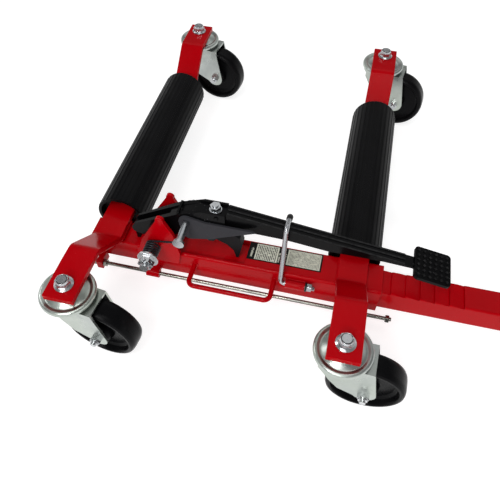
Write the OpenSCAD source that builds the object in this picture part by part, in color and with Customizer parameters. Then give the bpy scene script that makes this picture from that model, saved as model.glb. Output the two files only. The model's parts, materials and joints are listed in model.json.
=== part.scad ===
// Ratchet wheel dolly: a telescoping square beam carries two flat-bar arms.
// Each arm holds one tyre roller and stands on two swivel casters.
// A foot pedal pushes the ratchet tube, and the sliding arm with it, towards the fixed arm.
// Directions: X runs along the beam, Y along the arms from front to rear, Z up from the floor.

/* [Arms] */
// Distance between the two arms as they stand
arm_spacing = 346; // [340:1:358]
// Width of the flat bar of each arm
bar_w = 40; // [36:1:44]
// Thickness of the flat bar
bar_t = 8; // [7:0.5:8]
// Height of the top of the bar over the beam
bar_top = 87; // [85:1:90]
// Height of the top of the caster plates at both ends
plate_top = 129; // [127:1:132]
// Distance from the middle of the beam to the front end of an arm
front_reach = 156; // [150:1:165]
// Distance from the middle of the beam to the rear end of an arm
rear_reach = 468; // [460:1:480]
// Distance of the caster bolts from the ends of the bar
bolt_inset = 21; // [20:0.5:24]

/* [Beam] */
// Outside of the fixed square tube
tube_w = 48; // [47:0.5:49]
// Wall of the fixed square tube
tube_wall = 4.5; // [4:0.25:4.5]
// Where the fixed tube begins, left of the fixed arm
tube_left = 302; // [298:1:303]
// How far the fixed tube runs past the middle of the fixed arm
tube_right = 42; // [36:1:48]
// Gap between the ratchet tube and the fixed tube on each side
slide_gap = 0.5; // [0.4:0.1:0.8]
// How far the ratchet tube runs past the middle of the fixed arm
ratchet_right = 250; // [240:1:280]
// Distance between two ratchet teeth
tooth_pitch = 19.35; // [18:0.05:19.5]
// Depth of the ratchet teeth
tooth_depth = 3; // [2:0.25:3]

/* [Rollers] */
// Outside diameter of the tyre rollers
roller_d = 73; // [70:1:74]
// Length of the tyre rollers
roller_len = 314; // [300:1:316]
// Height of the middle of the rollers
roller_z = 74; // [72:0.5:75]

/* [Casters] */
// Diameter of the caster wheels
wheel_d = 100; // [98:1:100]
// Width of the tread of the caster wheels
wheel_w = 30; // [28:0.5:31]
// Distance of the wheel axle behind the swivel axis
trail = 37; // [35:0.5:38]
// Largest radius of the swivel race
race_r = 36; // [34:0.5:37]

// Direction of the front left caster, from straight to the right
turn_front_left = -7; // [-180:1:180]
// Direction of the rear left caster
turn_rear_left = -9; // [-180:1:180]
// Direction of the front right caster
turn_front_right = -2; // [-180:1:180]
// Direction of the rear right caster
turn_rear_right = -8; // [-180:1:180]

/* [Pedal] */
// Height of the pedal's pivot pin
pivot_z = 100; // [99:0.5:101]
// Width of the folded pedal arm
pedal_w = 17; // [16:0.5:17]
// Side of the foot plate along the beam
pad_len = 48; // [44:1:50]
// Side of the foot plate across the beam
pad_w = 50; // [46:1:54]

/* [Hidden] */
$fn = 64;

red = [0.72, 0.02, 0.04];
black = [0.06, 0.06, 0.065];
dark_grey = [0.22, 0.22, 0.24];
zinc = [0.72, 0.74, 0.76];
label_white = [0.85, 0.85, 0.8];

// A little extra length for a cut that runs past a face
past = 1;

// Places worked out from the driving sizes, with the fixed arm at X 0 and the beam at Y 0
sliding_x = -arm_spacing;
bar_bottom = bar_top - bar_t;
plate_bottom = plate_top - bar_t;
tube_top = bar_bottom;
tube_mid = tube_top - tube_w / 2;
ratchet_top = tube_top - tube_wall - slide_gap;
ratchet_w = tube_w - 2 * tube_wall - 2 * slide_gap;
ratchet_mid = ratchet_top - ratchet_w / 2;
ratchet_left = sliding_x - 30;
front_bolt_y = -front_reach + bolt_inset;
rear_bolt_y = rear_reach - bolt_inset;
front_slope_start = -76;
front_slope_end = -22;
rear_slope_start = 349;
rear_slope_end = 403;
roller_front = 27;
roller_r = roller_d / 2;
roller_bore_r = roller_r - 5;
running_gap = 0.05;

// The row's origin: on the floor, under the middle of the whole dolly
cap_t = 3;
origin_x = (sliding_x - race_r + ratchet_right + cap_t) / 2;
origin_y = (front_bolt_y + rear_bolt_y) / 2;

// Casters
bolt_r = 6;
nut_af = 19;
fork_right = 41;
fork_crown_z = 103.8;
fork_t = 3;
fork_gap = 35;
axle_r = 4;
axle_z = wheel_d / 2;
front_left = [sliding_x, front_bolt_y, turn_front_left];
rear_left = [sliding_x, rear_bolt_y, turn_rear_left];
front_right = [0, front_bolt_y, turn_front_right];
rear_right = [0, rear_bolt_y, turn_rear_right];

// Pedal mechanism
pivot_x = -271;
pin_r = 6;
lug_t = 5;
clevis_x = -225.5;
clevis_z = 141;
clevis_r = 5;
cheek_in = pedal_w / 2;
cheek_out = cheek_in + 3.5;
socket_right = -174;
socket_top = 159.5;
socket_rim = 163;
socket_roof = 4.5;
arm_x = -190;
arm_z = 166;
arm_tilt = 8.4;
pad_x = 95;
pad_z = 126;
pad_tilt = 11;
pad_t = 4.5;

// Pedal latch
latch_x = -87;
latch_y = -30.5;
latch_z = 68;
latch_r = 3.25;
latch_lean = 9.6;
latch_reach = 96;

// Travel rod
rod_y = -35;
rod_z = 36.5;
rod_r = 2.75;
rod_left = -376;
rod_right = 64;

// ---------------------------------------------------------------- helpers

// A flat shape drawn in X and Z, filling Y from y0 to y1
module across(y0, y1) {
    translate([0, y1, 0])
        rotate([90, 0, 0])
            linear_extrude(y1 - y0)
                children();
}

// A flat shape drawn in Y and Z, filling X from x0 to x1
module along(x0, x1) {
    translate([x0, 0, 0])
        rotate([90, 0, 90])
            linear_extrude(x1 - x0)
                children();
}

// A round bar along X
module bar_x(x0, x1, y, z, r) {
    translate([x0, y, z])
        rotate([0, 90, 0])
            cylinder(r = r, h = x1 - x0);
}

// A round bar along Y
module bar_y(y0, y1, x, z, r) {
    translate([x, y0, z])
        rotate([-90, 0, 0])
            cylinder(r = r, h = y1 - y0);
}

// A hexagon of width af across its flats
module hexagon(af) {
    circle(r = af / sqrt(3), $fn = 6);
}

// A square with round corners, centred
module round_square(w, r) {
    square([w, w - 2 * r], center = true);
    square([w - 2 * r, w], center = true);
    for (sx = [-1, 1], sy = [-1, 1])
        translate([sx * (w / 2 - r), sy * (w / 2 - r)])
            circle(r = r);
}

// A link outline: two round ends of radius r0 and r1 at p0 and p1, joined by straight sides
module link(p0, r0, p1, r1) {
    d = p1 - p0;
    len = norm(d);
    heading = atan2(d[1], d[0]);
    side = acos((r0 - r1) / len);
    translate(p0)
        circle(r = r0);
    translate(p1)
        circle(r = r1);
    polygon([for (s = [1, -1]) p0 + r0 * [cos(heading + s * side), sin(heading + s * side)],
        for (s = [-1, 1]) p1 + r1 * [cos(heading + s * side), sin(heading + s * side)]]);
}

// One side of a bent strip, at the distance off from its middle line.
// corners are the sharp corners of the middle line and headings the directions of its straights.
function bend_start(corner, h0, h1, r) = corner - r * tan(abs(h1 - h0) / 2) * [cos(h0), sin(h0)];
function bend_points(corner, h0, h1, r, off, n = 8) =
    let (s = sign(h1 - h0), centre = bend_start(corner, h0, h1, r) + r * s * [-sin(h0), cos(h0)])
        [for (i = [0:n]) let (h = h0 + (h1 - h0) * i / n)
            centre + (r - s * off) * s * [sin(h), -cos(h)]];
function strip_side(corners, headings, r, off) =
    let (last = len(corners) - 1)
        [corners[0] + off * [-sin(headings[0]), cos(headings[0])],
            for (i = [1:last - 1]) each bend_points(corners[i], headings[i - 1], headings[i], r, off),
            corners[last] + off * [-sin(headings[last - 1]), cos(headings[last - 1])]];
function reversed(points) = [for (i = [len(points) - 1:-1:0]) points[i]];

// ---------------------------------------------------------------- arms

arm_corners = [[-front_reach, plate_top - bar_t / 2], [front_slope_start, plate_top - bar_t / 2],
    [front_slope_end, bar_top - bar_t / 2], [rear_slope_start, bar_top - bar_t / 2],
    [rear_slope_end, plate_top - bar_t / 2], [rear_reach, plate_top - bar_t / 2]];
arm_headings = [for (i = [0:4]) let (d = arm_corners[i + 1] - arm_corners[i]) atan2(d[1], d[0])];
bend_r = 14;

module arm_bar(x) {
    difference() {
        along(x - bar_w / 2, x + bar_w / 2)
            polygon(concat(strip_side(arm_corners, arm_headings, bend_r, bar_t / 2),
                reversed(strip_side(arm_corners, arm_headings, bend_r, -bar_t / 2))));
        for (y = [front_bolt_y, rear_bolt_y])
            translate([x, y, plate_bottom - past])
                cylinder(r = bolt_r + 0.2, h = bar_t + 2 * past);
    }
}

// Two plastic bearing discs slotted over the bar; the roller turns on them
module roller_bearings(x) {
    for (y = [roller_front + 14, roller_front + roller_len - 26])
        difference() {
            bar_y(y, y + 12, x, roller_z, roller_bore_r - running_gap);
            translate([x - bar_w / 2, y - past, bar_bottom])
                cube([bar_w, 12 + 2 * past, bar_t]);
        }
}

module roller(x) {
    rib_count = 30;
    difference() {
        union() {
            bar_y(roller_front, roller_front + roller_len, x, roller_z, roller_r - 0.6);
            for (i = [0:rib_count - 1])
                translate([x, roller_front, roller_z])
                    rotate([0, i * 360 / rib_count, 0])
                        translate([roller_r - 2, 1.5, -1.4])
                            cube([2, roller_len - 3, 2.8]);
        }
        bar_y(roller_front - past, roller_front + roller_len + past, x, roller_z, roller_bore_r);
    }
}

// ---------------------------------------------------------------- beam

window_left = -242;
window_right = -147;

module outer_tube() {
    color(red)
        difference() {
            along(-tube_left, tube_right)
                translate([0, tube_mid])
                    round_square(tube_w, 4);
            along(-tube_left - past, tube_right + past)
                translate([0, tube_mid])
                    square(tube_w - 2 * tube_wall, center = true);
            translate([window_left, -tube_w / 2 + tube_wall, tube_top - tube_wall - past])
                cube([window_right - window_left, tube_w - 2 * tube_wall, tube_wall + 2 * past]);
        }
}

teeth = 24;
last_tooth = 151.5;
teeth_left = last_tooth - teeth * tooth_pitch;

module ratchet_tube() {
    wall = 5;
    color(red)
        difference() {
            along(ratchet_left, ratchet_right)
                translate([0, ratchet_mid])
                    difference() {
                        round_square(ratchet_w, 2.5);
                        square(ratchet_w - 2 * wall, center = true);
                    }
            across(-ratchet_w / 2 - past, ratchet_w / 2 + past)
                for (i = [0:teeth - 1])
                    translate([teeth_left + i * tooth_pitch, ratchet_top])
                        polygon([[0, 0], [0, past], [tooth_pitch, past], [tooth_pitch, -tooth_depth]]);
        }
}

module tube_end_cap() {
    color(black) {
        translate([ratchet_right, -ratchet_w / 2, ratchet_mid - ratchet_w / 2])
            cube([cap_t, ratchet_w, ratchet_w]);
        translate([ratchet_right - 12, -ratchet_w / 2 + 5, ratchet_mid - ratchet_w / 2 + 5])
            cube([12, ratchet_w - 10, ratchet_w - 10]);
    }
}

module arm_saddle() {
    color(red)
        translate([sliding_x - bar_w / 2, -ratchet_w / 2, ratchet_top])
            cube([bar_w, ratchet_w, bar_bottom - ratchet_top]);
}

// A plate welded to the tube's side, with a round tip of radius tip_r at tip
module lug(y0, tip, left, right) {
    tip_r = 5.5;
    color(red)
        across(y0, y0 + lug_t)
            difference() {
                union() {
                    polygon([[-298, 62], [-296, 82], left, tip - [tip_r - 0.3, 2], tip + [tip_r - 0.3, -2],
                        right, [-236, 84], [-240, 62]]);
                    translate(tip)
                        circle(r = tip_r);
                }
                translate([pivot_x, pivot_z])
                    circle(r = pin_r + 0.1);
            }
}

module front_lug() {
    lug(-tube_w / 2 - lug_t, [-257.5, 151], [-288, 106], [-242, 126]);
}

module rear_lug() {
    lug(tube_w / 2, [-262, 138], [-286, 106], [-247, 112]);
}

module rod_guide() {
    guide_r = 6.5;
    color(red)
        difference() {
            union() {
                bar_x(-289, -270, rod_y, rod_z, guide_r);
                translate([-289, rod_y, rod_z])
                    cube([19, -tube_w / 2 - rod_y, guide_r]);
            }
            bar_x(-290, -269, rod_y, rod_z, rod_r + 0.35);
        }
}

handle_left = -218;
handle_right = -103;
handle_z = 62;
handle_out = -60;
handle_r = 3.5;
handle_bend = 9;

module carry_handle() {
    color(red) {
        for (x = [handle_left, handle_right])
            bar_y(handle_out + handle_bend, -tube_w / 2, x, handle_z, handle_r);
        bar_x(handle_left + handle_bend, handle_right - handle_bend, handle_out, handle_z, handle_r);
        translate([handle_left + handle_bend, handle_out + handle_bend, handle_z])
            rotate([0, 0, 180])
                rotate_extrude(angle = 90)
                    translate([handle_bend, 0])
                        circle(r = handle_r);
        translate([handle_right - handle_bend, handle_out + handle_bend, handle_z])
            rotate([0, 0, 270])
                rotate_extrude(angle = 90)
                    translate([handle_bend, 0])
                        circle(r = handle_r);
    }
}

module latch_bush() {
    color(red)
        difference() {
            union() {
                bar_x(latch_x + 0.5, latch_x + 27.5, latch_y, latch_z, 6);
                translate([latch_x + 0.5, latch_y, latch_z - 3])
                    cube([27, -tube_w / 2 - latch_y, 6]);
            }
            bar_x(latch_x - past, latch_x + 30, latch_y, latch_z, latch_r + running_gap);
        }
}

module rating_label() {
    color(label_white)
        translate([-146.5, -9.5, tube_top])
            cube([104.5, 30, 0.3]);
}

// ---------------------------------------------------------------- travel rod

rod_lug_x = sliding_x - 19.5;
rod_lug_t = 9;
rod_nut_t = 5;

module rod_lug() {
    color(red)
        difference() {
            translate([rod_lug_x, rod_y - 6.5, rod_z - 7])
                cube([rod_lug_t, -ratchet_w / 2 - rod_y + 6.5, 15]);
            bar_x(rod_lug_x - past, rod_lug_x + rod_lug_t + past, rod_y, rod_z, rod_r + 0.1);
        }
}

module travel_rod() {
    color(zinc) {
        bar_x(rod_left, rod_right, rod_y, rod_z, rod_r);
    }
}

module rod_nuts() {
    for (x = [rod_lug_x - rod_nut_t, rod_lug_x + rod_lug_t, rod_right - 8])
        color(zinc)
            difference() {
                along(x, x + rod_nut_t)
                    translate([rod_y, rod_z])
                        hexagon(10);
                bar_x(x - past, x + rod_nut_t + past, rod_y, rod_z, rod_r);
            }
}

// ---------------------------------------------------------------- pivot hardware

washer_y = -56.5;

module pivot_pin() {
    color(zinc) {
        bar_y(-72, tube_w / 2 + lug_t, pivot_x, pivot_z, pin_r);
        bar_y(tube_w / 2 + lug_t, tube_w / 2 + lug_t + 5, pivot_x, pivot_z, 9.5);
    }
}

module pivot_washer() {
    color(zinc)
        difference() {
            bar_y(washer_y, washer_y + 2.5, pivot_x, pivot_z, 14.5);
            bar_y(washer_y - past, washer_y + 2.5 + past, pivot_x, pivot_z, pin_r);
        }
}

module pivot_nut() {
    color(zinc)
        difference() {
            across(washer_y - 10, washer_y)
                translate([pivot_x, pivot_z])
                    hexagon(nut_af);
            bar_y(washer_y - 12, washer_y + past, pivot_x, pivot_z, pin_r);
            for (a = [30, 90, 150])
                translate([pivot_x, washer_y - 10, pivot_z])
                    rotate([0, a, 0])
                        translate([-12, -past, -1.5])
                            cube([24, 4 + past, 3]);
        }
}

module cotter_pin() {
    y = washer_y - 8.5;
    color(zinc)
        difference() {
            union() {
                translate([pivot_x, y, pivot_z - 13])
                    cylinder(r = 1.1, h = 26);
                translate([pivot_x, y, pivot_z + 15])
                    rotate([90, 0, 0])
                        rotate_extrude()
                            translate([2.6, 0])
                                circle(r = 1);
            }
            bar_y(y - 5, y + 5, pivot_x, pivot_z, pin_r);
        }
}

// ---------------------------------------------------------------- pedal

// The yoke: two cheeks on the pivot pin with a slot between them for the catch, and an open
// socket for the pedal arm
slot_in = 5.5;

module pedal_yoke() {
    color(black)
        difference() {
            union() {
                for (y0 = [-cheek_out, slot_in])
                    across(y0, y0 + cheek_out - slot_in) {
                        link([pivot_x, pivot_z], 13, [pivot_x - 32, pivot_z], 8);
                        link([pivot_x, pivot_z], 13, [clevis_x, clevis_z], 11.5);
                        polygon([[-309, 106], [-306, 110.5], [-238, 151], [-234, 152], [-206, socket_rim],
                            [socket_right, socket_rim], [socket_right, 144], [-222, 130], [-262, 92]]);
                    }
                across(-slot_in, slot_in)
                    polygon([[-252, 140], [-238, 148.5], [-234, 151], [-206, socket_rim],
                        [socket_right, socket_rim], [socket_right, 150], [-212, 150], [-235, 144],
                        [-249, 136]]);
            }
            translate([-216, -cheek_in, 100])
                cube([216 + socket_right + past, pedal_w, socket_top - socket_roof - 100]);
            translate([-231, -cheek_in, socket_top])
                cube([231 + socket_right + past, pedal_w, 20]);
            for (s = [-1, 1])
                linear_extrude(200)
                    polygon([[-320, s * 8.6], [-320, s * 20], [-250, s * 20], [-250, s * (cheek_out + 0.1)]]);
            bar_y(-cheek_out - past, cheek_out + past, pivot_x, pivot_z, pin_r + running_gap);
            bar_y(-cheek_out - past, cheek_out + past, clevis_x, clevis_z, clevis_r);
            translate([arm_x + 1, 0, socket_top - 20])
                cylinder(r = 4, h = 40);
        }
}

// The pedal arm's own frame: X along the arm, Z up from its top face
module in_arm() {
    translate([arm_x, 0, arm_z])
        rotate([0, arm_tilt, 0])
            children();
}

// The foot plate's own frame, centred on its top face
module in_pad() {
    translate([pad_x, 0, pad_z])
        rotate([0, pad_tilt, 0])
            children();
}

// A channel with a tongue under the socket's roof and three ribs along its top
module pedal_arm() {
    sheet = 2.5;
    color(black)
        difference() {
            in_arm()
                union() {
                    difference() {
                        across(-pedal_w / 2, pedal_w / 2)
                            polygon([[-15, 0], [300, 0], [300, -3.4], [262, -3.4], [226, -6],
                                [155, -16.5], [100, -17.5], [45, -24], [-15, -24]]);
                        across(-pedal_w / 2 + sheet, pedal_w / 2 - sheet)
                            polygon([[-17, -15.5], [17, -15.5], [17, -3], [255, -3], [255, -10],
                                [100, -30], [-17, -30]]);
                    }
                    for (y = [-pedal_w / 2, -1.2, pedal_w / 2 - 2.4])
                        translate([18, y, 0])
                            cube([234, 2.4, 1.2]);
                }
            translate([arm_x - 30, -pedal_w, socket_top - socket_roof])
                cube([socket_right - arm_x + 30, 2 * pedal_w, 30]);
            translate([arm_x + 1, 0, socket_top - 30])
                cylinder(r = 4, h = 40);
            in_pad()
                translate([-pad_len / 2 - 0.01, -pad_w / 2, -pad_t])
                    cube([pad_len + 20, pad_w, 40]);
        }
}

module pedal_pad() {
    corner = 5;
    tread = 7.6;
    color(black)
        in_pad()
            union() {
                translate([0, 0, -pad_t])
                    linear_extrude(pad_t) {
                        square([pad_len, pad_w - 2 * corner], center = true);
                        square([pad_len - 2 * corner, pad_w], center = true);
                        for (sx = [-1, 1], sy = [-1, 1])
                            translate([sx * (pad_len / 2 - corner), sy * (pad_w / 2 - corner)])
                                circle(r = corner);
                    }
                for (i = [-2.5:2.5], j = [-2.5:2.5])
                    translate([i * tread, j * tread, 0])
                        linear_extrude(1)
                            square([4, 1.4], center = true);
                for (i = [-2.5:2.5], j = [-2.5:2.5])
                    translate([i * tread, j * tread, 0])
                        linear_extrude(1)
                            square([1.4, 4], center = true);
            }
}

module pedal_bolt() {
    color(zinc)
        translate([arm_x + 1, 0, socket_top]) {
            translate([0, 0, -11])
                cylinder(r = 4, h = 21);
            translate([0, 0, -16])
                linear_extrude(5)
                    hexagon(11);
        }
}

module pedal_nut() {
    color(zinc)
        translate([arm_x + 1, 0, socket_top])
            difference() {
                union() {
                    cylinder(r = 8.4, h = 1.6);
                    linear_extrude(8)
                        hexagon(13);
                }
                translate([0, 0, -past])
                    cylinder(r = 4, h = 10);
            }
}

module clevis_pin() {
    color(zinc) {
        bar_y(-49, 22, clevis_x, clevis_z, clevis_r);
        bar_y(-52, -49, clevis_x, clevis_z, 7.8);
    }
}

module clevis_clip() {
    y = pawl_out + 0.4;
    color(zinc)
        difference() {
            bar_y(y, y + 1.5, clevis_x, clevis_z, 8.5);
            bar_y(y - past, y + 3, clevis_x, clevis_z, clevis_r);
            translate([clevis_x - 3, y - past, clevis_z - 12])
                cube([6, 4, 12]);
        }
}

// The return spring: a helix on the pivot pin whose last straight leg lies under the clevis pin
wire_r = 1.7;
coil_r = 9.5;
coil_turns = 5;
coil_steps = 20;
coil_front = -52;
coil_rear = -32;
leg_angle = 116.4;
leg_len = 61;
leg_slant = -0.2;

function coil_point(t) = let (a = leg_angle - 360 * coil_turns * (t - 1))
    [pivot_x + coil_r * cos(a), coil_front + (coil_rear - coil_front) * t, pivot_z + coil_r * sin(a)];
function leg_point(s) = coil_point(1) + s * [sin(leg_angle), leg_slant, -cos(leg_angle)];

// Rings of points round a path, joined into one closed skin
function ring_at(p, d, r, n) =
    let (u0 = cross(d, abs(d[1]) < 0.9 * norm(d) ? [0, 1, 0] : [1, 0, 0]), u = u0 / norm(u0),
        v0 = cross(d, u), v = v0 / norm(v0))
        [for (k = [0:n - 1]) p + r * (cos(360 * k / n) * u + sin(360 * k / n) * v)];

module swept(path, r, n = 8) {
    m = len(path);
    rings = [for (i = [0:m - 1]) each ring_at(path[i],
        path[min(i + 1, m - 1)] - path[max(i - 1, 0)], r, n)];
    sides = [for (i = [0:m - 2], k = [0:n - 1])
        [i * n + k, i * n + (k + 1) % n, (i + 1) * n + (k + 1) % n, (i + 1) * n + k]];
    first = [for (k = [n - 1:-1:0]) k];
    last = [for (k = [0:n - 1]) (m - 1) * n + k];
    polyhedron(rings, concat([first], sides, [last]));
}

module return_spring() {
    count = coil_turns * coil_steps;
    color(black)
        swept([for (i = [0:count]) coil_point(i / count), leg_point(leg_len / 2), leg_point(leg_len)],
            wire_r);
}

// ---------------------------------------------------------------- pawls

// Two plates hang from the clevis pin outside the yoke. A web joins them and carries a narrower
// claw that reaches the ratchet teeth.
pawl_in = cheek_out + 0.3;
pawl_out = pawl_in + 3;
claw_x = last_tooth - 16 * tooth_pitch;
claw_z = ratchet_top + 0.6;
claw_half = 7.5;

module drive_pawl() {
    color(dark_grey)
        difference() {
            union() {
                for (y0 = [-pawl_out, pawl_in])
                    across(y0, y0 + pawl_out - pawl_in) {
                        link([clevis_x, clevis_z], 11, [clevis_x + 3, clevis_z - 22], 11);
                        polygon([[clevis_x, clevis_z + 11], [-200, 146], [-137, 145.5], [-133.5, 144],
                            [-167, 128.5], [-195, 115], [clevis_x + 3, 108]]);
                    }
                across(-pawl_out, pawl_out)
                    polygon([[-203, 116], [-196, 111.8], [-190, 112.5], [-185, 119], [-186, 120.6]]);
                across(-claw_half, claw_half)
                    polygon([[-203, 116], [-190.7, 108.2], [-174, 99.8], [-164.5, 89.1],
                        [claw_x - 3.5, claw_z], [claw_x, claw_z], [-152.5, 101.9], [-155.6, 116.5],
                        [-164, 123], [-168, 127.5], [-182, 122]]);
            }
            bar_y(-pawl_out - past, pawl_out + past, clevis_x, clevis_z, clevis_r + running_gap);
        }
}

// A catch on the pivot pin that drops in front of the fixed tube's mouth
catch_x = -309;

module holding_pawl() {
    color(black)
        difference() {
            across(-4.8, 4.8) {
                link([pivot_x, pivot_z], 12, [catch_x + 5, pivot_z - 1], 6.5);
                polygon([[catch_x - 0.8, pivot_z + 1], [catch_x + 11, pivot_z + 1],
                    [catch_x + 5, ratchet_top + 0.6], [catch_x, ratchet_top + 0.6]]);
            }
            bar_y(-4.8 - past, 4.8 + past, pivot_x, pivot_z, pin_r + running_gap);
        }
}

// ---------------------------------------------------------------- pedal latch

// A round hook that turns in its bush and reaches over the pedal arm
latch_elbow = 6.5;
latch_bend = 6;

module elbow(r_bend, r) {
    rotate_extrude(angle = 90)
        translate([r_bend, 0])
            circle(r = r);
}

module pedal_latch() {
    leg_x = latch_x - latch_elbow;
    color("silver")
        translate([0, latch_y, latch_z])
            rotate([-latch_lean, 0, 0]) {
                bar_x(latch_x, latch_x + 41, 0, 0, latch_r);
                translate([latch_x, 0, latch_elbow])
                    rotate([90, 0, 0])
                        rotate([0, 0, 180])
                            elbow(latch_elbow, latch_r);
                translate([leg_x, 0, latch_elbow])
                    cylinder(r = latch_r, h = latch_reach - latch_bend - latch_elbow);
                translate([leg_x, latch_bend, latch_reach - latch_bend])
                    rotate([0, 0, 90])
                        rotate([90, 0, 0])
                            rotate([0, 0, 90])
                                elbow(latch_bend, latch_r);
                bar_y(latch_bend, 24, leg_x, latch_reach, latch_r);
                translate([leg_x, 24, latch_reach - latch_bend])
                    rotate([0, 0, 90])
                        rotate([90, 0, 0])
                            rotate_extrude(angle = 60)
                                translate([latch_bend, 0])
                                    circle(r = latch_r);
            }
}

module latch_nut() {
    x = latch_x + 27.8;
    color(black)
        difference() {
            bar_x(x, x + 2.5, latch_y, latch_z, 6.2);
            bar_x(x - past, x + 4, latch_y, latch_z, latch_r);
        }
    color(zinc)
        difference() {
            along(x + 2.5, x + 9)
                translate([latch_y, latch_z])
                    hexagon(10);
            bar_x(x + 2, x + 10, latch_y, latch_z, latch_r);
        }
}

// ---------------------------------------------------------------- casters

module caster_bolts(x) {
    color(zinc)
        for (y = [front_bolt_y, rear_bolt_y])
            translate([x, y, 0]) {
                translate([0, 0, fork_crown_z - 0.3])
                    cylinder(r = bolt_r, h = plate_top + 12.6 - fork_crown_z);
                translate([0, 0, fork_crown_z - 7.3])
                    cylinder(r = 10, h = 7);
            }
}

// Flanged hexagon nuts on top of the caster plates
module caster_nuts(x) {
    color(zinc)
        for (y = [front_bolt_y, rear_bolt_y])
            translate([x, y, plate_top])
                difference() {
                    union() {
                        cylinder(r = 12.2, h = 1.6);
                        translate([0, 0, 1.6])
                            cylinder(r1 = 12.2, r2 = 9.6, h = 1.8);
                        linear_extrude(9)
                            rotate([0, 0, 12])
                                hexagon(17);
                        translate([0, 0, 9])
                            cylinder(r1 = 8.3, r2 = 7.4, h = 2.6);
                    }
                    translate([0, 0, -past])
                        cylinder(r = bolt_r, h = 20);
                }
}

// A caster stands under its bolt, turned about it
module caster(place) {
    translate([place[0], place[1], 0])
        rotate([0, 0, place[2]])
            children();
}

module race(place) {
    color(zinc)
        caster(place)
            rotate_extrude()
                polygon([[bolt_r, plate_bottom], [18, plate_bottom], [26.5, 115.4], [28.2, 115],
                    [30, 115.8], [32, 116.6], [34, 116.2], [35.4, 115], [race_r, 113.2], [race_r, 110.6],
                    [race_r - 2.2, 110.6], [race_r - 2.2, 113], [32.2, 114.4], [30.2, 113.6],
                    [28.2, 112.9], [26, 113.4], [17.4, 118.6], [bolt_r, 118.6]]);
}

// A fork folded from one plate: a square crown with a raised lower race, and two broad legs
module fork(place) {
    leg_top = fork_crown_z + fork_t;
    outer = fork_gap / 2 + fork_t;
    color(zinc)
        caster(place)
            difference() {
                union() {
                    for (y0 = [fork_gap / 2, -outer])
                        across(y0, y0 + fork_t)
                            fork_leg(leg_top);
                    translate([0, 0, fork_crown_z])
                        linear_extrude(fork_t)
                            intersection() {
                                translate([-31, -outer])
                                    square([31 + fork_right, 2 * outer]);
                                union() {
                                    circle(r = 33);
                                    translate([0, -outer])
                                        square([fork_right, 2 * outer]);
                                }
                            }
                    rotate_extrude()
                        polygon([[bolt_r + running_gap, leg_top], [31, leg_top], [race_r - 3.6, 108.6],
                            [race_r - 3.6, 110.6], [29, 111.2], [24, 111.6], [14, 114],
                            [bolt_r + running_gap, 114]]);
                }
                translate([0, 0, 90])
                    cylinder(r = bolt_r + running_gap, h = 40);
                bar_y(-40, 40, trail, axle_z, axle_r + 0.1);
            }
}

module fork_leg(leg_top) {
    translate([trail, axle_z])
        circle(r = 15);
    polygon([[-25, leg_top], [-25, 96], [-16, 81], [-9, 68], [4, 51], [trail - 12.5, axle_z - 8.3],
        [trail + 14.8, axle_z + 2.5], [fork_right + 1, leg_top - 4], [fork_right, leg_top]]);
}

module axle(place) {
    outer = fork_gap / 2 + fork_t;
    color(zinc)
        caster(place)
            translate([trail, 0, 0]) {
                bar_y(-outer - 11.5, outer + 1, 0, axle_z, axle_r);
                across(-outer - 6, -outer)
                    translate([0, axle_z])
                        hexagon(13);
                bar_y(-outer - 8, -outer - 6, 0, axle_z, 6);
                across(outer, outer + 5.5)
                    translate([0, axle_z])
                        hexagon(13);
            }
}

module wheel(place) {
    r = wheel_d / 2;
    h = wheel_w / 2;
    hub = fork_gap / 2 - 0.5;
    color(black)
        caster(place)
            translate([trail, 0, axle_z])
                rotate([90, 0, 0])
                    rotate_extrude($fn = 96)
                    polygon([[8, -hub], [14, -hub], [16.5, -hub + 4], [18, -5], [36, -4.5], [40, -7],
                        [42, -h + 1], [43, -h], [45.5, -h], [48, -h + 1.5], [49.5, -h + 5], [r, -h + 9],
                        [r, h - 9], [49.5, h - 5], [48, h - 1.5], [45.5, h], [43, h], [42, h - 1],
                        [40, 7], [36, 4.5], [18, 5], [16.5, hub - 4], [14, hub], [8, hub]]);
}

module bushing(place) {
    hub = fork_gap / 2 - 0.4;
    color(zinc)
        caster(place)
            translate([trail, 0, axle_z])
                rotate([90, 0, 0])
                    difference() {
                        cylinder(r = 8, h = 2 * hub, center = true);
                        cylinder(r = axle_r + running_gap, h = 3 * hub, center = true);
                    }
}

// ---------------------------------------------------------------- the dolly

module placed() {
    translate([-origin_x, -origin_y, 0])
        children();
}

placed() outer_tube();
placed() color(red) arm_bar(0);  // fixed_arm
placed() front_lug();
placed() rear_lug();
placed() rod_guide();
placed() carry_handle();
placed() latch_bush();
placed() rating_label();
placed() pivot_pin();
placed() pivot_washer();
placed() pivot_nut();
placed() cotter_pin();
placed() color(black) roller_bearings(0);  // fixed_roller_bearings
placed() caster_bolts(0);  // fixed_arm_caster_bolts
placed() caster_nuts(0);  // fixed_arm_caster_nuts
placed() pedal_yoke();
placed() pedal_arm();
placed() pedal_pad();
placed() pedal_bolt();
placed() pedal_nut();
placed() clevis_pin();
placed() clevis_clip();
placed() return_spring();
placed() drive_pawl();
placed() holding_pawl();
placed() pedal_latch();
placed() latch_nut();
placed() ratchet_tube();
placed() color(red) arm_bar(sliding_x);  // sliding_arm
placed() arm_saddle();
placed() tube_end_cap();
placed() rod_lug();
placed() travel_rod();
placed() rod_nuts();
placed() color(black) roller_bearings(sliding_x);  // sliding_roller_bearings
placed() caster_bolts(sliding_x);  // sliding_arm_caster_bolts
placed() caster_nuts(sliding_x);  // sliding_arm_caster_nuts
placed() color(black) roller(0);  // fixed_roller
placed() color(black) roller(sliding_x);  // sliding_roller
placed() race(front_left);  // race_front_left
placed() race(rear_left);  // race_rear_left
placed() race(front_right);  // race_front_right
placed() race(rear_right);  // race_rear_right
placed() fork(front_left);  // fork_front_left
placed() fork(rear_left);  // fork_rear_left
placed() fork(front_right);  // fork_front_right
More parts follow.
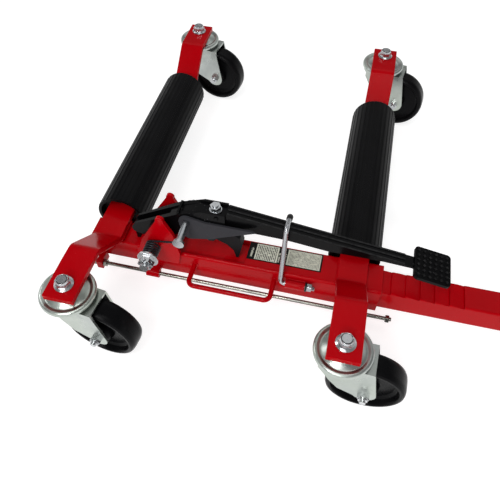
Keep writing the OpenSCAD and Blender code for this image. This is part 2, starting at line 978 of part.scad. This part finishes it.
placed() fork(rear_right);  // fork_rear_right
placed() axle(front_left);  // axle_front_left
placed() axle(rear_left);  // axle_rear_left
placed() axle(front_right);  // axle_front_right
placed() axle(rear_right);  // axle_rear_right
placed() wheel(front_left);  // wheel_front_left
placed() wheel(rear_left);  // wheel_rear_left
placed() wheel(front_right);  // wheel_front_right
placed() wheel(rear_right);  // wheel_rear_right
placed() bushing(front_left);  // bushing_front_left
placed() bushing(rear_left);  // bushing_rear_left
placed() bushing(front_right);  // bushing_front_right
placed() bushing(rear_right);  // bushing_rear_right
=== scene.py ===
import json
import math
import random

import bmesh
import bpy
from mathutils import Matrix, Vector


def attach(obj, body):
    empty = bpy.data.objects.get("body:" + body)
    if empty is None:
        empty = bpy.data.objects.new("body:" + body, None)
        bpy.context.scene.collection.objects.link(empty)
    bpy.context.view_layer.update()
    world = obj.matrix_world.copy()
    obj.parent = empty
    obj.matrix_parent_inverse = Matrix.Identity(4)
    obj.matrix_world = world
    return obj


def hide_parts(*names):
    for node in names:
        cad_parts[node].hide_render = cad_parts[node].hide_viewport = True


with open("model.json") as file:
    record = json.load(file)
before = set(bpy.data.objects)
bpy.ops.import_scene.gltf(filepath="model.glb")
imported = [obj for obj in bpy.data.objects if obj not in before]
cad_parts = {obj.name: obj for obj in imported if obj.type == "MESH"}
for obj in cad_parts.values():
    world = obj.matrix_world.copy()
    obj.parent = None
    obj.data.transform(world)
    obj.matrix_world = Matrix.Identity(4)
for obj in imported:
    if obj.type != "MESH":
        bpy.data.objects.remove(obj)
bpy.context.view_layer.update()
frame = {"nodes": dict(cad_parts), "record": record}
nodes = frame["nodes"]
random.seed(7)

# Places on the design's own plan, in mm
FIXED_X, SLIDING_X = 0, -346          # middle of each arm
BOLT_Y = (-135, 447)                  # the two caster bolts of an arm
PIVOT_X, PIVOT_Z = -271, 100          # main pin
ROD_Y, ROD_Z = -35, 36.5              # thin rod
LATCH_Y, LATCH_Z = -30.5, 68          # the latch's bush


def place(x, y, z):
    """A point of the design's own plan in mm, fixed arm at X 0 and beam at Y 0, in the row frame in metres."""
    return Vector(((x + 64.5) / 1000, (y - 156) / 1000, z / 1000))


# ---------------------------------------------------------------- materials


class Nodes:
    """A short way to write a material's nodes."""

    def __init__(self, name):
        self.mat = bpy.data.materials.new(name)
        self.mat.use_nodes = True
        self.tree = self.mat.node_tree
        self.bsdf = self.tree.nodes["Principled BSDF"]
        self.coords = self.tree.nodes.new("ShaderNodeTexCoord").outputs["Object"]

    def new(self, kind, **inputs):
        node = self.tree.nodes.new(kind)
        for key, value in inputs.items():
            socket = node.inputs[key.replace("_", " ")]
            if isinstance(value, bpy.types.NodeSocket):
                self.tree.links.new(value, socket)
            else:
                socket.default_value = value
        return node

    def link(self, out, key):
        self.tree.links.new(out, self.bsdf.inputs[key])

    def noise(self, scale, detail=4.0, roughness=0.55, stretch=(1, 1, 1)):
        mapping = self.new("ShaderNodeMapping", Vector=self.coords, Scale=Vector(stretch))
        return self.new("ShaderNodeTexNoise", Vector=mapping.outputs[0], Scale=scale, Detail=detail,
                        Roughness=roughness).outputs["Fac"]

    def ramp(self, value, stops):
        node = self.new("ShaderNodeValToRGB", Fac=value)
        ramp = node.color_ramp
        while len(ramp.elements) < len(stops):
            ramp.elements.new(0.5)
        for element, (at, colour) in zip(ramp.elements, stops):
            element.position = at
            element.color = (*colour, 1)
        return node.outputs["Color"]

    def span(self, value, low, high, to_low, to_high):
        node = self.new("ShaderNodeMapRange", Value=value)
        node.inputs["From Min"].default_value = low
        node.inputs["From Max"].default_value = high
        node.inputs["To Min"].default_value = to_low
        node.inputs["To Max"].default_value = to_high
        return node.outputs["Result"]

    def mix(self, fac, a, b):
        node = self.tree.nodes.new("ShaderNodeMix")
        node.data_type = "RGBA"
        factor, first, second, result = 0, 6, 7, 2
        self.tree.links.new(fac, node.inputs[factor])
        for key, value in ((first, a), (second, b)):
            if isinstance(value, bpy.types.NodeSocket):
                self.tree.links.new(value, node.inputs[key])
            else:
                node.inputs[key].default_value = (*value, 1)
        return node.outputs[result]

    def math(self, kind, a, b):
        node = self.tree.nodes.new("ShaderNodeMath")
        node.operation = kind
        for key, value in ((0, a), (1, b)):
            if isinstance(value, bpy.types.NodeSocket):
                self.tree.links.new(value, node.inputs[key])
            else:
                node.inputs[key].default_value = value
        return node.outputs[0]

    def bump(self, height, strength, distance):
        node = self.new("ShaderNodeBump", Height=height, Strength=strength, Distance=distance)
        self.link(node.outputs["Normal"], "Normal")


def height_above(n, centre, tilt):
    """How far a place lies above the plane through centre that is tilted in degrees about Y."""
    split = n.new("ShaderNodeSeparateXYZ", Vector=n.coords)
    turn = math.radians(tilt)
    along_x = n.math("MULTIPLY", n.math("SUBTRACT", split.outputs["X"], centre.x), math.sin(turn))
    along_z = n.math("MULTIPLY", n.math("SUBTRACT", split.outputs["Z"], centre.z), math.cos(turn))
    return n.math("ADD", along_x, along_z)


def paint(name, colour, deep, chip, rough, level, chips=0.4, peel=0.25, worn_and_lit_tops=None, painted_shade_below=None):
    """Powder coat with orange peel, faint dirt and pinhead chips.
    rubbed gives paler raised tops, partly wear and partly painted highlight: a point on a face, its tilt in
    degrees about Y, and the height they start at.
    under gives a point and tilt of a plane, and the darker tone painted below it as shade."""
    n = Nodes(name)
    tone = n.ramp(n.noise(9, 5), [(0.3, deep), (0.7, colour)])
    grime = n.span(n.noise(60, 6, 0.7), 0.6, 0.8, 0, 0.3)
    tone = n.mix(grime, tone, tuple(c * 0.45 for c in deep))
    specks = n.math("MULTIPLY", n.span(n.noise(330, 2, 0.6), 0.69, 0.73, 0, chips),
                    n.span(n.noise(18, 3), 0.5, 0.6, 0, 1))
    tone = n.mix(specks, tone, chip)
    # Paler raised tops: painted highlight, partly wear, in patches from noise.
    if worn_and_lit_tops:
        centre, tilt, start = worn_and_lit_tops
        high = n.span(height_above(n, centre, tilt), start, start + 0.0002, 0, 1)
        worn_and_lit_mask = n.math("MULTIPLY", high, n.span(n.noise(170, 4, 0.7), 0.35, 0.65, 0.25, 1))
        tone = n.mix(worn_and_lit_mask, tone, tuple(c + 0.022 for c in colour))
    # Painted shade: everything below the tilted plane takes the darker tone.
    if painted_shade_below:
        centre, tilt, shade_tone = painted_shade_below
        tone = n.mix(n.span(height_above(n, centre, tilt), -0.0006, 0, 1, 0), tone, shade_tone)
    n.link(tone, "Base Color")
    n.link(n.span(n.noise(35, 5), 0.3, 0.7, rough - 0.06, rough + 0.1), "Roughness")
    n.bsdf.inputs["Specular IOR Level"].default_value = level
    height = n.math("ADD", n.math("MULTIPLY", n.noise(420, 2), 0.7), n.math("MULTIPLY", n.noise(90, 3), 0.6))
    n.bump(height, peel, 0.0005)
    return n.mat


def metal(name, colour, shade, rough, spread=0.1, grain=(1, 1, 1), tint=None):
    """Plated steel: cloudy tone, a passivation tint, fine scratches, roughness that varies."""
    n = Nodes(name)
    tone = n.ramp(n.noise(22, 4, 0.5), [(0.3, shade), (0.7, colour)])
    if tint:
        tone = n.mix(n.span(n.noise(12, 3, 0.5), 0.42, 0.62, 0, 0.7), tone, tint)
    scratches = n.noise(240, 3, 0.6, grain)
    tone = n.mix(n.span(scratches, 0.6, 0.82, 0, 0.22), tone, tuple(c * 0.6 for c in shade))
    n.link(tone, "Base Color")
    n.bsdf.inputs["Metallic"].default_value = 1.0
    n.link(n.span(n.noise(60, 4, 0.6), 0.3, 0.7, rough - spread / 2, rough + spread), "Roughness")
    n.bump(n.noise(70, 3), 0.07, 0.0003)
    return n.mat


def plastic(name, colour, lift, rough, level, grain_scale=500, strength=0.2, stretch=(1, 1, 1)):
    """Moulded black: grain, a dusty bloom and scuffs."""
    n = Nodes(name)
    tone = n.ramp(n.noise(18, 5, 0.6), [(0.3, colour), (0.75, lift)])
    scuff = n.span(n.noise(45, 7, 0.75, stretch), 0.62, 0.78, 0, 0.4)
    n.link(n.mix(scuff, tone, tuple(min(1, c * 2.2 + 0.006) for c in lift)), "Base Color")
    n.link(n.span(n.noise(50, 5, 0.7, stretch), 0.3, 0.7, rough - 0.08, rough + 0.12), "Roughness")
    n.bsdf.inputs["Specular IOR Level"].default_value = level
    n.bump(n.noise(grain_scale, 3, 0.6, stretch), strength, 0.0004)
    return n.mat


def printed_label():
    """Cream film with a black border, black blocks and rows of broken grey lines in place of print."""
    n = Nodes("printed_label")
    split = n.new("ShaderNodeSeparateXYZ", Vector=n.coords)
    x, y = split.outputs["X"], split.outputs["Y"]
    left, right, low, high = -0.082, 0.0225, -0.1655, -0.1355

    def between(value, a, b):
        return n.math("MULTIPLY", n.math("GREATER_THAN", value, a), n.math("LESS_THAN", value, b))

    def rows(lo, hi, pitch, ink, broken):
        """Lines across the label between lo and hi, broken up like words."""
        column = n.math("LESS_THAN", n.math("FRACT", n.math("DIVIDE", n.math("SUBTRACT", x, lo), pitch), 0), ink)
        words = n.math("GREATER_THAN", n.noise(520, 1, 0.5, (0.35, 1, 1)), broken)
        inside = n.math("MULTIPLY", between(x, lo, hi), between(y, low + 0.0025, high - 0.0025))
        return n.math("MULTIPLY", n.math("MULTIPLY", column, words), inside)

    film = n.ramp(n.noise(30, 4), [(0.3, (0.56, 0.56, 0.46)), (0.7, (0.66, 0.66, 0.56))])
    ink, pale = (0.004, 0.004, 0.004), (0.5, 0.5, 0.42)
    tone = n.mix(rows(left + 0.0125, left + 0.0405, 0.0024, 0.5, 0.42), film, (0.03, 0.03, 0.03))
    tone = n.mix(rows(left + 0.058, right - 0.004, 0.0019, 0.4, 0.44), tone, (0.16, 0.16, 0.14))
    tone = n.mix(between(x, left + 0.0425, left + 0.0555), tone, ink)
    tone = n.mix(n.math("MULTIPLY", rows(left + 0.0435, left + 0.055, 0.0042, 0.5, 0.47),
                        n.math("LESS_THAN", y, low + 0.02)), tone, pale)
    tone = n.mix(n.math("LESS_THAN", x, left + 0.0105), tone, ink)
    mark = n.math("MULTIPLY", between(x, left + 0.0042, left + 0.0072),
                  between(y, low + 0.005, low + 0.021))
    tone = n.mix(n.math("MULTIPLY", mark, n.math("GREATER_THAN", n.noise(600, 1, 0.5), 0.48)), tone, pale)
    inside = n.math("MULTIPLY", between(x, left + 0.0012, right - 0.0022),
                    between(y, low + 0.0018, high - 0.0012))
    n.link(n.mix(inside, ink, tone), "Base Color")
    n.link(n.span(n.noise(40, 4), 0.3, 0.7, 0.34, 0.5), "Roughness")
    n.bsdf.inputs["Specular IOR Level"].default_value = 0.1
    n.bump(n.noise(300, 3), 0.1, 0.0002)
    return n.mat


# Colours are linear. Paint: name, colour, deep tone, chip tone, roughness, specular level.
red = paint("red_powder_coat", (0.44, 0.0, 0.0034), (0.355, 0.0, 0.0025), (0.57, 0.05, 0.06), 0.17, 0.07)
coal, soot, grey = (0.003, 0.003, 0.0034), (0.0014, 0.0014, 0.0017), (0.1, 0.1, 0.1)
black = paint("black_powder_coat", coal, soot, grey, 0.18, 0.07, 0.6, 0.3)
# The pad's tread tops and the arm's rib tops are mixed paler: painted highlight, on the pad with some wear too.
pad_black = paint("pad_coating", coal, soot, grey, 0.22, 0.07, 0.6, 0.3, (place(95, 0, 126), 11, 0.0007))
arm_black = paint("arm_coating", coal, soot, grey, 0.18, 0.07, 0.5, 0.3, (place(-190, 0, 166), 8.4, 0.0009))
# The pawl is darker below a plane sloping across its claw: painted shade beneath its front plate.
pawl = paint("pawl_coating", (0.036, 0.036, 0.041), (0.027, 0.027, 0.032), (0.12, 0.12, 0.13), 0.5, 0.08,
             0.4, 0.2, painted_shade_below=(place(-195, 0, 114.9), -25.2, (0.009, 0.009, 0.01)))
zinc = metal("zinc_plating", (0.52, 0.55, 0.53), (0.34, 0.37, 0.36), 0.3, 0.14, tint=(0.46, 0.51, 0.45))
bright = metal("bright_zinc", (0.66, 0.67, 0.68), (0.4, 0.42, 0.44), 0.22, 0.1)
rod = metal("drawn_rod", (0.3, 0.29, 0.25), (0.16, 0.16, 0.15), 0.26, 0.1, (0.05, 1, 1))
chrome = metal("bright_plating", (0.5, 0.51, 0.53), (0.34, 0.35, 0.37), 0.24, 0.08)
spring = metal("spring_steel", (0.035, 0.035, 0.04), (0.015, 0.015, 0.018), 0.28, 0.1)
roller = plastic("roller_coating", (0.003, 0.003, 0.0034), (0.0055, 0.0055, 0.006), 0.32, 0.055,
                 260, 0.3, (1, 0.06, 1))
wheel = plastic("wheel_moulding", (0.0025, 0.0025, 0.003), (0.0045, 0.0045, 0.005), 0.26, 0.06,
                380, 0.15)
nylon = plastic("bearing_nylon", (0.006, 0.006, 0.006), (0.012, 0.012, 0.012), 0.55, 0.3)
film = printed_label()

finishes = {"red_paint": red, "black_paint": black, "pawl_grey": pawl, "zinc_plate": zinc,
            "chrome_rod": chrome, "spring_steel": spring, "roller_black": roller,
            "bearing_plastic": nylon, "wheel_black": wheel, "label": film}
slot_of = {entry["node"]: entry["material_slot"] for entry in frame["record"]["subparts"]}

# ---------------------------------------------------------------- CAD nodes: finishes and softened edges

for name, node in nodes.items():
    finish = finishes[slot_of[name]]
    if slot_of[name] == "zinc_plate" and not name.startswith(("race", "fork")):
        finish = rod if name in ("travel_rod", "rod_nuts") else bright
    finish = {"pedal_pad": pad_black, "pedal_arm": arm_black}.get(name, finish)
    node.data.materials.clear()
    node.data.materials.append(finish)

# Edge radii in mm; every other node takes the small one
SMALL_EDGE = 0.3
soften = {"outer_tube": 0.7, "fixed_arm": 1.0, "sliding_arm": 1.0, "ratchet_tube": 0.5, "front_lug": 0.8,
          "rear_lug": 0.8, "arm_saddle": 0.6, "pedal_yoke": 0.9, "pedal_arm": 0.5, "pedal_pad": 0.4,
          "drive_pawl": 0.5, "holding_pawl": 0.5}


def soften_edges(obj, width):
    """Rounds the sharp edges by width mm and keeps the flats flat in shading."""
    weld = obj.modifiers.new("weld", "WELD")
    weld.merge_threshold = 1e-6
    bevel = obj.modifiers.new("bevel", "BEVEL")
    bevel.width = width / 1000
    bevel.segments = 2
    bevel.limit_method = "ANGLE"
    bevel.angle_limit = math.radians(32)
    normals = obj.modifiers.new("normals", "WEIGHTED_NORMAL")
    normals.keep_sharp = True


for name, node in nodes.items():
    soften_edges(node, soften.get(name, SMALL_EDGE))

# ---------------------------------------------------------------- added detail

body_of = {node: body for body, members in frame["record"]["behaviour"]["bodies"].items() for node in members}


def piece(name, bm, finish, like, replaces=None, smooth=True):
    """Turns a bmesh into an object with the given finish that rides with CAD node like."""
    mesh = bpy.data.meshes.new(name)
    bmesh.ops.recalc_face_normals(bm, faces=bm.faces)
    bm.to_mesh(mesh)
    bm.free()
    for polygon in mesh.polygons:
        polygon.use_smooth = smooth
    mesh.materials.append(finish)
    obj = bpy.data.objects.new(name, mesh)
    bpy.context.collection.objects.link(obj)
    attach(obj, body_of[like])
    if replaces:
        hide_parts(replaces)
    return obj


def tube(bm, path, radius, sides=12, closed=False):
    """Sweeps a ring along path; radius is a number or one number per point."""
    count = len(path)
    radii = radius if isinstance(radius, list) else [radius] * count
    rings, across = [], None
    for i, point in enumerate(path):
        before = path[i - 1] if closed else path[max(i - 1, 0)]
        after = path[(i + 1) % count] if closed else path[min(i + 1, count - 1)]
        ahead = (after - before).normalized()
        if across is None:
            across = ahead.orthogonal()
        across = (across - ahead * across.dot(ahead)).normalized()
        other = ahead.cross(across)
        rings.append([bm.verts.new(point + radii[i] * (math.cos(t) * across + math.sin(t) * other))
                      for t in (2 * math.pi * k / sides for k in range(sides))])
    for i in range(count if closed else count - 1):
        here, there = rings[i], rings[(i + 1) % count]
        for k in range(sides):
            bm.faces.new((here[k], here[(k + 1) % sides], there[(k + 1) % sides], there[k]))
    if not closed:
        bm.faces.new(rings[0][::-1])
        bm.faces.new(rings[-1])


def weld_bead(bm, corners, radius=1.5, closed=False):
    """A weld run along corners in plan mm: overlapping ripples a bit uneven in size."""
    points = [place(*c) for c in corners] + ([place(*corners[0])] if closed else [])
    path, radii = [], []
    for a, b in zip(points, points[1:]):
        steps = max(2, int((b - a).length / 0.00045))
        for i in range(steps):
            path.append(a.lerp(b, i / steps) + Vector([random.uniform(-1, 1) * 0.00006 for _ in range(3)]))
            ripple = 0.86 + 0.16 * abs(math.sin(len(path) * 0.75)) + random.uniform(-0.03, 0.03)
            radii.append(radius / 1000 * ripple)
    if not closed:
        path.append(points[-1])
        radii.append(radius / 1000 * 0.6)
        radii[0] *= 0.6
    tube(bm, path, radii, 8, closed)


def ring_points(x, y, z, radius, normal="Y", count=24):
    """Points of a circle about the Y or the Z axis, in plan mm."""
    points = []
    for i in range(count):
        t = math.radians(360.0 * i / count)
        a, b = radius * math.cos(t), radius * math.sin(t)
        points.append((x + a, y, z + b) if normal == "Y" else (x + a, y + b, z))
    return points


half = 20  # of the flat bar's width

# Welds of the fixed part: lugs, handle feet, latch bush, rod guide and fixed arm
frame_welds = bmesh.new()
for x, lean in ((-298, 2), (-241, 1)):
    for y in (-24.3, 24.3):
        weld_bead(frame_welds, [(x, y, 62.5), (x + lean, y, 76.5)], 1.3)
for y in (-24.6, 24.6):
    weld_bead(frame_welds, [(-297, y, 61.6), (-241, y, 61.6)], 1.5)
weld_bead(frame_welds, [(-293, -24, 79.2), (-240, -24, 79.2)], 1.1)
for x in (-218, -103):
    weld_bead(frame_welds, ring_points(x, -24.4, 62, 3.9), 1.3, True)
for z in (64.6, 71.4):
    weld_bead(frame_welds, [(-86, -24.4, z), (-60, -24.4, z)], 1.2)
weld_bead(frame_welds, [(-288.5, -24.3, 43.2), (-270.5, -24.3, 43.2)], 1.3)
for x in (FIXED_X - half, FIXED_X + half):
    weld_bead(frame_welds, [(x, -22, 79.4), (x, 22, 79.4)], 1.5)
piece("frame_welds", frame_welds, red, "outer_tube")

# Welds of the sliding part: its arm and the rod's lug
slide_welds = bmesh.new()
for x in (SLIDING_X - half, SLIDING_X + half):
    weld_bead(slide_welds, [(x, -18, 78.6), (x, 18, 78.6)], 1.3)
for y in (-19.2, 19.2):
    weld_bead(slide_welds, [(SLIDING_X - half, y, 74), (SLIDING_X + half, y, 74)], 1.2)
weld_bead(slide_welds, [(-365.5, -19.2, 44.8), (-356.5, -19.2, 44.8)], 1.4)
piece("slide_welds", slide_welds, red, "ratchet_tube")

# The return spring as one smooth wire with a straight tail
coil, turns, steps = [], 5.0, 40
coil_radius, coil_front, coil_length = 9.5, -52, 20
lean = math.radians(116.4)
for i in range(int(turns * steps) + 1):
    t = i / (turns * steps)
    a = lean - 2 * math.pi * turns * (t - 1)
    coil.append(place(PIVOT_X + coil_radius * math.cos(a), coil_front + coil_length * t,
                      PIVOT_Z + coil_radius * math.sin(a)))
tail = Vector((math.sin(lean), -0.2, -math.cos(lean))) / 1000
leg = [coil[-1] + tail * d for d in (4, 12, 24, 36, 48, 60)]
spring_mesh = bmesh.new()
tube(spring_mesh, coil + leg, 0.0015, 14)
piece("return_spring_wire", spring_mesh, spring, "return_spring", "return_spring")


def thread(bm, centre, axis, radius, length, pitch):
    """Screw thread: a helical ridge on a round shank from centre along axis, in plan mm."""
    axis = Vector(axis).normalized()
    u = axis.orthogonal().normalized()
    v = axis.cross(u)
    start = place(*centre)
    path = []
    per_turn = 20
    for i in range(int(length / pitch * per_turn) + 1):
        t = 2 * math.pi * i / per_turn
        around = (math.cos(t) * u + math.sin(t) * v) * radius / 1000
        path.append(start + around + axis * (pitch * i / per_turn) / 1000)
    tube(bm, path, pitch * 0.33 / 1000, 5)


rod_thread = bmesh.new()
for x, length in ((40, 23), (-375.3, 4.5), (-351, 10)):
    thread(rod_thread, (x, ROD_Y, ROD_Z), (1, 0, 0), 2.62, length, 1.0)
piece("rod_thread", rod_thread, rod, "travel_rod")

pivot_thread = bmesh.new()
thread(pivot_thread, (PIVOT_X, -71.4, PIVOT_Z), (0, 1, 0), 5.8, 4.5, 1.3)
piece("pivot_thread", pivot_thread, bright, "pivot_pin")

# The caster bolts' threads, and the nylon ring in each lock nut with the crimped rim round it
for x, side, like in ((FIXED_X, "fixed", "fixed_arm_caster_bolts"),
                      (SLIDING_X, "sliding", "sliding_arm_caster_bolts")):
    bolts, inserts = bmesh.new(), bmesh.new()
    for y in BOLT_Y:
        thread(bolts, (x, y, 138.4), (0, 0, 1), 5.7, 2.6, 1.25)
        tube(inserts, [place(*p) for p in ring_points(x, y, 140.5, 6.45, "Z", 36)], 0.00045, 8, True)
        tube(bolts, [place(*p) for p in ring_points(x, y, 140.45, 7.2, "Z", 36)], 0.0005, 8, True)
    piece(side + "_bolt_ends", bolts, bright, like)
    piece(side + "_nut_inserts", inserts, nylon, like.replace("bolts", "nuts"))

# The axles' threads, each beside its own wheel
wheel_centre_z, caster_trail, thread_end = 50, 37, 31.6
front, rear = BOLT_Y
for corner, x, y, turned in (("front_left", SLIDING_X, front, -7), ("rear_left", SLIDING_X, rear, -9),
                             ("front_right", FIXED_X, front, -2), ("rear_right", FIXED_X, rear, -8)):
    a = math.radians(turned)
    along_x, along_y = Vector((math.cos(a), math.sin(a), 0)), Vector((-math.sin(a), math.cos(a), 0))
    hub = Vector((x, y, wheel_centre_z)) + along_x * caster_trail
    axle_thread = bmesh.new()
    thread(axle_thread, tuple(hub - along_y * thread_end), tuple(along_y), 3.75, 3.2, 1.25)
    piece("axle_thread_" + corner, axle_thread, bright, "axle_" + corner)


def latch_point(x, y, z):
    """A point of the latch's own upright plane, leaning 9.6 degrees back from its bush, in plan mm."""
    a = math.radians(9.6)
    return place(x, LATCH_Y + y * math.cos(a) + z * math.sin(a), LATCH_Z - y * math.sin(a) + z * math.cos(a))


def arc(steps, turn, point):
    """point at each of steps equal parts of a turn in degrees."""
    return [point(math.radians(turn * i / steps)) for i in range(steps + 1)]


# The latch: a round bar out of its bush, up past the pedal arm and back over it
hook = [latch_point(x, 0, 0) for x in (-46, -46.8, -60, -80)]
hook += arc(12, 90, lambda t: latch_point(-87 - 6.5 * math.sin(t), 0, 6.5 - 6.5 * math.cos(t)))
hook += [latch_point(-93.5, 0, z) for z in (20, 50, 80)]
hook += arc(12, 90, lambda t: latch_point(-93.5, 6 - 6 * math.cos(t), 90 + 6 * math.sin(t)))
hook += [latch_point(-93.5, 15, 96)]
hook += arc(8, 60, lambda t: latch_point(-93.5, 24 + 6 * math.sin(t), 90 + 6 * math.cos(t)))
latch_mesh = bmesh.new()
tube(latch_mesh, hook, [0.0026] + [0.00325] * (len(hook) - 1), 24)
piece("pedal_latch_rod", latch_mesh, chrome, "pedal_latch", "pedal_latch")

# The black tip on the latch's end
tip_mesh = bmesh.new()
tip_path = [latch_point(-93.5, 20, 96), latch_point(-93.5, 20.6, 96)]
tip_path += arc(8, 60, lambda t: latch_point(-93.5, 24 + 6 * math.sin(t), 90 + 6 * math.cos(t)))
drop = (tip_path[-1] - tip_path[-2]).normalized()
tip_path += [tip_path[-1] + drop * 0.0012, tip_path[-1] + drop * 0.0019]
tube(tip_mesh, tip_path, [0.0034] + [0.0041] * (len(tip_path) - 3) + [0.0036, 0.0022], 20)
piece("pedal_latch_tip", tip_mesh, nylon, "pedal_latch")

# The black friction washer between the latch's bush and its nut
collar = bmesh.new()
tube(collar, [place(x, LATCH_Y, LATCH_Z) for x in (-59.25, -59.0, -56.9, -56.65)],
     [0.0058, 0.0063, 0.0063, 0.0058], 32)
piece("latch_friction_washer", collar, nylon, "latch_nut")

# The folded lip where the yoke's sheet ends over the socket
lip = bmesh.new()
outline = [(-12.1, 146.5), (-12.1, 151.6), (-11.3, 153.4), (11.3, 153.4), (12.1, 151.6), (12.1, 146.5),
           (10.4, 146.5), (10.4, 150.2), (-10.4, 150.2), (-10.4, 146.5)]
ends = [[lip.verts.new(place(x - (z - 150) * 0.3, y, z)) for y, z in outline] for x in (-238.6, -235.6)]
for k in range(len(outline)):
    j = (k + 1) % len(outline)
    lip.faces.new((ends[0][k], ends[0][j], ends[1][j], ends[1][k]))
lip.faces.new(ends[0])
lip.faces.new(ends[1][::-1])
soften_edges(piece("yoke_lip", lip, black, "pedal_yoke", smooth=False), 0.4)

# A small hexagon screw in the side of the pedal arm's socket
screw = bmesh.new()
for width, y, sides in ((3.2, -11.9, 24), (2.7, -12.7, 6)):
    rings = []
    for at, r in ((y, width), (y - 0.8, width), (y - 1.1, width - 0.4)):
        rings.append([screw.verts.new(place(*p)) for p in ring_points(-185.5, at, 156.3, r, "Y", sides)])
    for a, b in zip(rings, rings[1:]):
        for k in range(len(a)):
            screw.faces.new((a[k], a[(k + 1) % len(a)], b[(k + 1) % len(a)], b[k]))
    screw.faces.new(rings[0])
    screw.faces.new(rings[-1][::-1])
piece("socket_screw", screw, black, "pedal_yoke", smooth=False)

# ---------------------------------------------------------------- floor, light, camera


def studio_floor():
    """A plain pale sheet that glows enough to read as the photographer's white ground."""
    mesh = bpy.data.meshes.new("studio_floor")
    bm = bmesh.new()
    bmesh.ops.create_grid(bm, x_segments=1, y_segments=1, size=6)
    bm.to_mesh(mesh)
    bm.free()
    obj = bpy.data.objects.new("studio_floor", mesh)
    bpy.context.collection.objects.link(obj)
    n = Nodes("studio_floor")
    n.link(n.ramp(n.noise(2, 2), [(0.3, (0.4, 0.4, 0.4)), (0.7, (0.43, 0.43, 0.43))]), "Base Color")
    n.bsdf.inputs["Roughness"].default_value = 0.9
    n.bsdf.inputs["Specular IOR Level"].default_value = 0.1
    n.bsdf.inputs["Emission Color"].default_value = (1, 1, 1, 1)
    n.bsdf.inputs["Emission Strength"].default_value = 0.78
    mesh.materials.append(n.mat)


studio_floor()


def area(name, location, target, size, power):
    data = bpy.data.lights.new(name, "AREA")
    data.shape = "RECTANGLE"
    data.size, data.size_y = size
    data.energy = power
    obj = bpy.data.objects.new(name, data)
    bpy.context.collection.objects.link(obj)
    obj.location = location
    obj.rotation_euler = (Vector(target) - Vector(location)).to_track_quat("-Z", "Y").to_euler()


area("key", (-0.6, -1.7, 2.5), (0, 0, 0), (0.9, 0.9), 26)
area("side", (-2.2, 0.2, 1.5), (0, 0, 0), (0.7, 0.7), 8)
area("strip", (-0.2, -2.4, 1.7), (0, 0, 0.1), (1.5, 0.13), 22)
area("top", (0.2, -0.7, 3.4), (0, 0, 0), (1.6, 0.8), 12)
area("sky", (0.0, 1.9, 2.6), (0, 0, 0), (3.4, 1.8), 13)

# The surroundings: white at the horizon, dimmer overhead
world = bpy.data.worlds.new("studio")
bpy.context.scene.world = world
world.use_nodes = True
sky = world.node_tree.nodes.new("ShaderNodeTexCoord")
split = world.node_tree.nodes.new("ShaderNodeSeparateXYZ")
fade = world.node_tree.nodes.new("ShaderNodeMapRange")
for key, value in (("From Min", 0.0), ("From Max", 0.45), ("To Min", 1.0), ("To Max", 0.22)):
    fade.inputs[key].default_value = value
world.node_tree.links.new(sky.outputs["Generated"], split.inputs[0])
world.node_tree.links.new(split.outputs["Z"], fade.inputs["Value"])
world.node_tree.links.new(fade.outputs["Result"], world.node_tree.nodes["Background"].inputs["Strength"])
world.node_tree.nodes["Background"].inputs["Color"].default_value = (1, 1, 1, 1)

# The camera, as solved from the object's straight edges: where it stands, in plan mm, and how it is turned
camera_data = bpy.data.cameras.new("camera")
camera = bpy.data.objects.new("camera", camera_data)
bpy.context.collection.objects.link(camera)
camera_data.lens = 37.6
camera_data.sensor_width = 36
azimuth, elevation, roll = math.radians(-12.88), math.radians(53.13), math.radians(0.377)
ahead = Vector((math.sin(azimuth) * math.cos(elevation), math.cos(azimuth) * math.cos(elevation),
                -math.sin(elevation)))
right = Vector((math.cos(azimuth), -math.sin(azimuth), 0))
up = right.cross(ahead)
side = right * math.cos(roll) + up * math.sin(roll)
above = up * math.cos(roll) - right * math.sin(roll)
turn = Matrix((side, above, -ahead)).transposed().to_4x4()
camera.matrix_world = Matrix.Translation(place(-46.16, -424.6, 667.7)) @ turn
bpy.context.scene.camera = camera
bpy.context.scene.view_settings.view_transform = "Standard"
